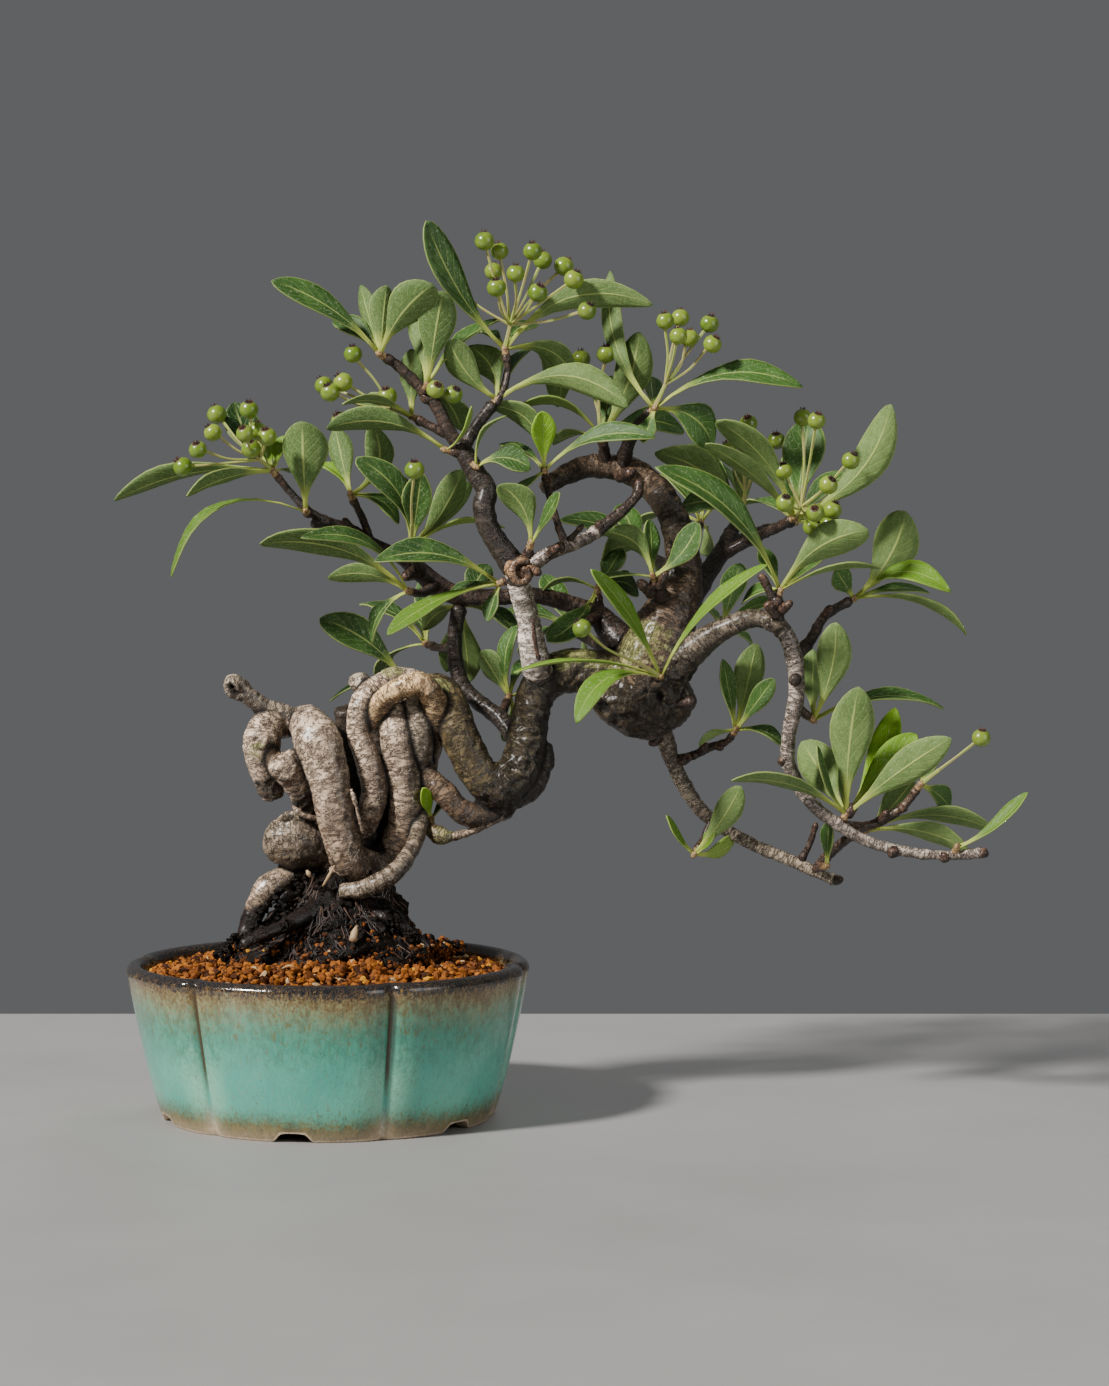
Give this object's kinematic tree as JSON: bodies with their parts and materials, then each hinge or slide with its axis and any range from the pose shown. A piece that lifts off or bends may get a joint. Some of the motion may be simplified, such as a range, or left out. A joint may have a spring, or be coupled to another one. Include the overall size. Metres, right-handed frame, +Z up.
{
  "type": "pyracantha bonsai",
  "caption": "Small leaning bonsai with a knotted trunk, narrow leaves and unripe berries, in a round lobed glazed pot.",
  "frame": {"origin": "middle of the bottom of the object's box, on the surface that the pot stands on", "axes": "+Z up, -Y towards the viewer of the tree's front, +X towards the long low branch"},
  "size_m": [0.2694, 0.1562, 0.2662],
  "materials": {
    "glaze": "gloss",
    "screen": "matte",
    "bark": "matte",
    "root_mass": "matte",
    "soil": "matte",
    "leaf": "satin",
    "berry": "gloss"
  },
  "bodies": {
    "root": {"pot": "glaze", "drain_screen": "screen", "wood": "bark", "root_mass": "root_mass", "soil": "soil", "leaves_tip_left": "leaf", "leaves_mid_left": "leaf", "leaves_fork_tip": "leaf", "leaves_apex": "leaf", "leaves_y_left": "leaf", "leaves_y_right": "leaf", "leaves_pale_spur": "leaf", "leaves_far_left": "leaf", "leaves_left_fan": "leaf", "leaves_left_upright": "leaf", "leaves_left_dark": "leaf", "leaves_left_low": "leaf", "leaves_left_mid": "leaf", "leaves_prop_top": "leaf", "leaves_low_back": "leaf", "leaves_knot_back": "leaf", "leaves_trunk_back": "leaf", "leaves_centre_small": "leaf", "leaves_arch_left": "leaf", "leaves_arch_mid": "leaf", "leaves_upper_mid": "leaf", "leaves_burl_crown": "leaf", "leaves_behind_arch": "leaf", "leaves_branch_top": "leaf", "leaves_burl_front": "leaf", "leaves_right_tuft": "leaf", "leaves_upper_right_back": "leaf", "leaves_upper_right": "leaf", "leaves_right_deep": "leaf", "leaves_back_top": "leaf", "leaves_back_right": "leaf", "leaves_back_left": "leaf", "leaves_right_back": "leaf", "leaves_spur_right": "leaf", "leaves_twig_left": "leaf", "leaves_end_tuft": "leaf", "leaves_end_low": "leaf", "leaves_end_spur": "leaf", "leaves_end_tip": "leaf", "leaves_low_end": "leaf", "leaves_hanging": "leaf", "leaves_knot_right": "leaf", "berries_apex": "berry", "berries_pale_spur": "berry", "berries_mid_left": "berry", "berries_far_left": "berry", "berries_left_dark": "berry", "berries_arch_mid": "berry", "berries_upper_mid": "berry", "berries_upper_right_back": "berry", "berries_upper_right": "berry", "berries_right_back": "berry", "berries_end_spur": "berry", "berries_burl_front": "berry"}
  },
  "joints": []
}
